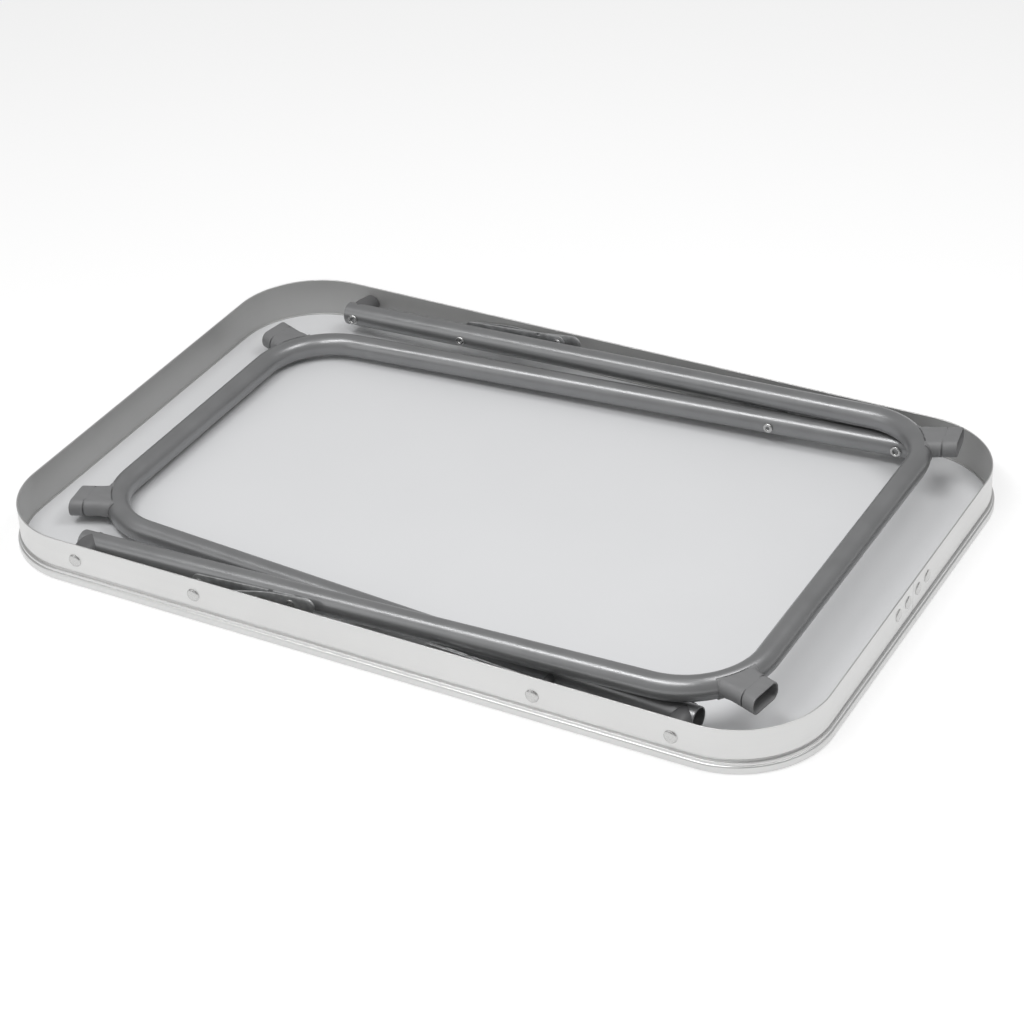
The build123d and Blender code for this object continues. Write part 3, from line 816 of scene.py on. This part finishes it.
class TABLE_OT_spacers(bpy.types.Operator):
    """Build the spacers that hold the leg frames and stays off the rim"""
    bl_idname = "table.spacers"
    bl_label = "Spacers"

    def coped(self, leg, x, radius, tip, bore, end):
        """Spacer that tapers to its tip and sits on the tube, in the leg's axes."""
        tube, middle = leg.sizes.tube, leg.width_at(x)
        edge = 0.5 * MM

        def seat(angle, r):
            height = min(abs(r * math.sin(angle)), tube * 0.9999)
            return middle - r * math.cos(angle) * math.tan(leg.taper) + math.sqrt(tube ** 2 - height ** 2)

        turns = [math.tau * step / 56 for step in range(56)]
        rings = []
        for r, y in ((bore, end), (tip - edge, end), (tip - 0.3 * edge, end - 0.3 * edge),
                     (tip, end - edge), (radius, middle + tube + 1.2 * MM)):
            rings.append([(x + r * math.cos(t), y, r * math.sin(t)) for t in turns])
        for r in (radius, (radius + bore) / 2, bore):
            rings.append([(x + r * math.cos(t), seat(t, r), r * math.sin(t)) for t in turns])
        return rings

    def execute(self, context):
        scene = context.scene
        rim, rivet, stay = scene.table_rim, scene.table_rivet, scene.table_stay
        inner_y = RIM_HIGH.y - rim.bead_depth - rim.wall
        paint = finishes()["spacer_plastic"]
        rim_spacers = Shell()
        for leg in legs():
            hinge_end, stay_end = inner_y - rivet.slip, leg.stay_y - stay.thickness / 2 - rivet.slip
            hinge = (0.0, leg.sizes.spacer, leg.sizes.spacer_tip, rivet.shank, hinge_end)
            pivot = (leg.stay_x, leg.sizes.stay_spacer, leg.sizes.stay_spacer, stay.pivot, stay_end)
            for kind, sizes in (("hinge_spacers", hinge), ("stay_spacers", pivot)):
                rings = self.coped(leg, *sizes)
                shell = Shell()
                for side in ENDS.values():
                    shell.rings(rings, leg.on(side), loop=True)
                node = f"{leg.name}_leg_{kind}"
                piece(f"{node}_detail", shell, paint, leg.body, "spacer_plastic", node)
            for end, side in ENDS.items():
                x, y, z = JOINTS[f"{leg.name}_{end}_rim_stay_pivot"]["pos_m"]
                start = abs(y) + stay.thickness / 2 + rivet.slip
                deep, r, edge = inner_y - start, leg.sizes.stay_spacer, 0.35 * MM
                ring = [(stay.pivot, 0), (r - edge, 0), (r, edge), (r, deep - edge), (r - edge, deep),
                        (stay.pivot, deep)]
                rim_spacers.turned(ring, facing_y(x, side * start, z, side), loop=True)
        piece("rim_stay_spacers_detail", rim_spacers, paint, "table_top", "spacer_plastic",
              "rim_stay_spacers")
        return {"FINISHED"}


class TABLE_OT_rivets(bpy.types.Operator):
    """Set the rivets of the hinges and the stays"""
    bl_idname = "table.rivets"
    bl_label = "Rivets"

    def execute(self, context):
        scene = context.scene
        rim, rivet, stay = scene.table_rim, scene.table_rivet, scene.table_stay
        wall_y = RIM_HIGH.y - rim.bead_depth
        steel = finishes()["rivet_steel"]
        hinges, rim_ends = Shell(), Shell()
        for leg in legs():
            inboard = leg.inboard_side(0, rivet.roll) - rivet.slip
            for end, side in ENDS.items():
                place = facing_y(leg.hinge_x, side * inboard, leg.hinge_z, -side)
                roll = rolled(rivet.shank, rivet.roll, rivet.roll_height, rivet.hollow, rivet.hollow_depth)
                head = [(r, -(wall_y - inboard) - h) for r, h in dome(rivet.head, rivet.head_height)]
                hinges.turned(head[::-1] + [(rivet.shank, -(wall_y - inboard))] + roll, place)
                x, y, z = JOINTS[f"{leg.name}_{end}_rim_stay_pivot"]["pos_m"]
                start = abs(y) - stay.thickness / 2 - rivet.slip
                inner_head = [(r, start - wall_y - h) for r, h in dome(stay.head, stay.head_height)]
                outline = inner_head[::-1] + [(stay.pivot, start - wall_y), (stay.pivot, 0)]
                outline += dome(rivet.head, rivet.head_height)
                rim_ends.turned(outline, facing_y(x, side * wall_y, z, side))
            shell = Shell()
            inboard = leg.inboard_side(leg.stay_x, stay.roll)
            outboard = leg.stay_y + stay.thickness / 2 + rivet.slip
            roll = rolled(stay.pivot, stay.roll, rivet.roll_height, stay.hollow, rivet.stay_depth)
            head = [(r, -(outboard - inboard) - h) for r, h in dome(stay.head, stay.head_height)]
            outline = head[::-1] + [(stay.pivot, -(outboard - inboard))] + roll
            for side in ENDS.values():
                shell.turned(outline, leg.on(side) @ facing_y(leg.stay_x, inboard, 0, FRONT))
            node = f"{leg.name}_leg_stay_rivets"
            piece(f"{node}_detail", shell, steel, leg.body, "rivet_steel", node)
        piece("hinge_rivets_detail", hinges, steel, "table_top", "rivet_steel", "hinge_rivets")
        piece("rim_stay_rivets_detail", rim_ends, steel, "table_top", "rivet_steel", "rim_stay_rivets")
        return {"FINISHED"}


class TABLE_OT_stays(bpy.types.Operator):
    """Press the links of the folding stays and set their elbow rivets"""
    bl_idname = "table.stays"
    bl_label = "Stays"

    def link(self, stay, start, stop, sideways, notch=None):
        """Flat strip with round ends. Sideways gives the middle of the strip across its
        face at each distance along it."""
        r, edge = stay.width / 2, stay.edge
        half = stay.thickness / 2
        ends = [r * (1 - math.cos(math.pi / 2 * step / 12)) for step in range(1, 13)]
        places = [start - r + e for e in ends]
        places += [start + (stop - start) * step / 40 for step in range(1, 40)]
        if notch:
            places += [cut + step for cut in notch for step in (0.05 * MM, -0.05 * MM)]
        places += [stop + r - e for e in reversed(ends)]
        rings = []
        for x in sorted(places):
            past = max(start - x, x - stop, 0.0)
            tall = math.sqrt(max(r ** 2 - past ** 2, (0.3 * MM) ** 2))
            top = tall - stay.notch_depth if notch and notch[0] < x < notch[1] else tall
            e = min(edge, 0.5 * tall)
            y = sideways(x)
            ring = [(x, y + half - e, top), (x, y + half - 0.3 * e, top - 0.3 * e), (x, y + half, top - e),
                    (x, y + half, e - tall), (x, y + half - 0.3 * e, 0.3 * e - tall),
                    (x, y + half - e, -tall)]
            rings.append(ring + [(x, 2 * y - py, pz) for x, py, pz in reversed(ring)])
        return rings

    def execute(self, context):
        stay, rivet = context.scene.table_stay, context.scene.table_rivet
        strip, steel = finishes()["link_steel"], finishes()["rivet_steel"]
        half = stay.thickness / 2
        for name in ("outer", "inner"):
            for end, side in ENDS.items():
                low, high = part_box(f"{name}_{end}_leg_link_rivet")
                elbow = (low + high) / 2
                rim = Vector(JOINTS[f"{name}_{end}_rim_stay_pivot"]["pos_m"])
                leg = Vector(JOINTS[f"{name}_{end}_leg_stay_pivot"]["pos_m"])
                rim_y, leg_y = abs(rim.y), abs(leg.y)
                elbow_y = leg_y + stay.elbow_step
                runs = {"rim_link": (rim, rim_y), "leg_link": (leg, leg_y)}
                for kind, (pivot, y) in runs.items():
                    run = math.hypot(elbow.x - pivot.x, elbow.z - pivot.z)
                    tilt = math.atan2(elbow.z - pivot.z, abs(elbow.x - pivot.x))
                    place = Matrix.Translation((-abs(pivot.x), 0, pivot.z))
                    place = place @ Matrix.Rotation(-tilt, 4, "Y")
                    if side == FRONT:
                        place = flipped((0, 1, 0)) @ place
                    if pivot.x > 0:
                        place = flipped((1, 0, 0)) @ place
                    if kind == "rim_link":
                        def sideways(x, a=0.3 * run, b=run - 20 * MM):
                            t = min(max((x - a) / (b - a), 0.0), 1.0)
                            return rim_y + (elbow_y - rim_y) * t * t * (3 - 2 * t)
                        rings = self.link(stay, 0.0, run + stay.lever - stay.width / 2, sideways)
                        face, out = elbow_y, BACK
                    else:
                        at = run - stay.notch_at
                        notch = (at - stay.notch_width / 2, at + stay.notch_width / 2)
                        rings = self.link(stay, 0.0, run, lambda x: leg_y, notch)
                        face, out = leg_y, FRONT
                    shell = Shell()
                    shell.rings(rings, place, capped=True)
                    body = f"{name}_{end}_{kind.replace('link', 'stay')}"
                    node = f"{name}_{end}_{kind}"
                    piece(f"{node}_detail", shell, strip, body, "link_steel", node)
                    shell = Shell()
                    outline = [(stay.pivot, -stay.thickness), (stay.pivot, 0)]
                    outline += dome(stay.head, stay.elbow_head)
                    seat = side * (face + out * half)
                    shell.turned(outline, facing_y(elbow.x, seat, elbow.z, side * out))
                    piece(f"{node}_rivet_detail", shell, steel, body, "rivet_steel", f"{node}_rivet")
        return {"FINISHED"}


class TABLE_OT_stage(bpy.types.Operator):
    """Lay the floor, set the studio lights and place the camera"""
    bl_idname = "table.stage"
    bl_label = "Stage"

    def light(self, name, power, size, place, aim=(0, 0, 0)):
        data = bpy.data.lights.new(name, "AREA")
        data.energy, data.shape, data.size, data.size_y = power, "RECTANGLE", *size
        made = bpy.data.objects.new(name, data)
        made.location = place
        made.rotation_euler = (Vector(aim) - Vector(place)).to_track_quat("-Z", "Y").to_euler()
        bpy.context.scene.collection.objects.link(made)

    def execute(self, context):
        scene, stage = context.scene, context.scene.table_stage
        mesh = bpy.data.meshes.new("studio_floor")
        half, low = 6.0, CAD_BOX[0].z - 0.2 * MM
        corners = [(-half, -half, low), (half, -half, low), (half, half, low), (-half, half, low)]
        mesh.from_pydata(corners, [], [(0, 1, 2, 3)])
        floor = bpy.data.objects.new("studio_floor", mesh)
        scene.collection.objects.link(floor)
        paper = Finish("pale_floor", stage.floor, 0.0, 0.9,
                       **{"Emission Color": (1, 1, 1, 1), "Emission Strength": stage.glow})
        paper.tint(paper.noise(3.0, 2.0), 0.995, 1.0)
        mesh.materials.append(paper.material)

        world = bpy.data.worlds.new("studio")
        world.use_nodes = True
        world.node_tree.nodes["Background"].inputs["Color"].default_value = (1, 1, 1, 1)
        world.node_tree.nodes["Background"].inputs["Strength"].default_value = stage.sky
        scene.world = world
        scene.view_settings.view_transform = "Standard"
        self.light("key", stage.key, (1.8, 0.4), (-0.3, -0.85, 1.95))
        self.light("fill", stage.fill, (1.2, 1.2), (-1.4, -1.8, 1.0))
        self.light("over", stage.over, (0.8, 0.8), (0.75, 0.25, 1.7), (0.45, 0, 0))

        camera = bpy.data.objects.new("camera", bpy.data.cameras.new("camera"))
        camera.data.lens, camera.data.sensor_width = stage.lens, 36.0
        scene.collection.objects.link(camera)
        back = Vector((math.sin(stage.azimuth) * math.cos(stage.elevation),
                       -math.cos(stage.azimuth) * math.cos(stage.elevation), math.sin(stage.elevation)))
        right = Vector((math.cos(stage.azimuth), math.sin(stage.azimuth), 0))
        turn = Matrix((right, back.cross(right), back)).transposed()
        camera.matrix_world = (Matrix.Translation(stage.eye)
                               @ (turn @ Matrix.Rotation(stage.roll, 3, "Z")).to_4x4())
        scene.camera = camera
        return {"FINISHED"}


OPERATORS = (TABLE_OT_board, TABLE_OT_rim, TABLE_OT_splice, TABLE_OT_leg_tubes, TABLE_OT_feet,
             TABLE_OT_spacers, TABLE_OT_rivets, TABLE_OT_stays, TABLE_OT_stage)


class TABLE_PT_build(bpy.types.Panel):
    """Sizes, finishes and steps of the table"""
    bl_idname = "TABLE_PT_build"
    bl_label = "Folding table"
    bl_space_type = "VIEW_3D"
    bl_region_type = "UI"
    bl_category = "Table"

    def draw(self, context):
        for name, group in GROUPS.items():
            box = self.layout.box()
            box.label(text=group.__doc__)
            for prop in group.__annotations__:
                box.prop(getattr(context.scene, name), prop)
        for operator in OPERATORS:
            self.layout.operator(operator.bl_idname)


def register():
    for group in GROUPS.values():
        bpy.utils.register_class(group)
    for operator in OPERATORS:
        bpy.utils.register_class(operator)
    bpy.utils.register_class(TABLE_PT_build)
    for name, group in GROUPS.items():
        setattr(bpy.types.Scene, name, PointerProperty(type=group))


def unregister():
    for name in GROUPS:
        delattr(bpy.types.Scene, name)
    bpy.utils.unregister_class(TABLE_PT_build)
    for group in reversed((*GROUPS.values(), *OPERATORS)):
        bpy.utils.unregister_class(group)


def main():
    """Build the whole table."""
    register()
    for operator in OPERATORS:
        step = operator.bl_idname.split(".")[1]
        getattr(bpy.ops.table, step)()


if __name__ == "__main__":
    main()
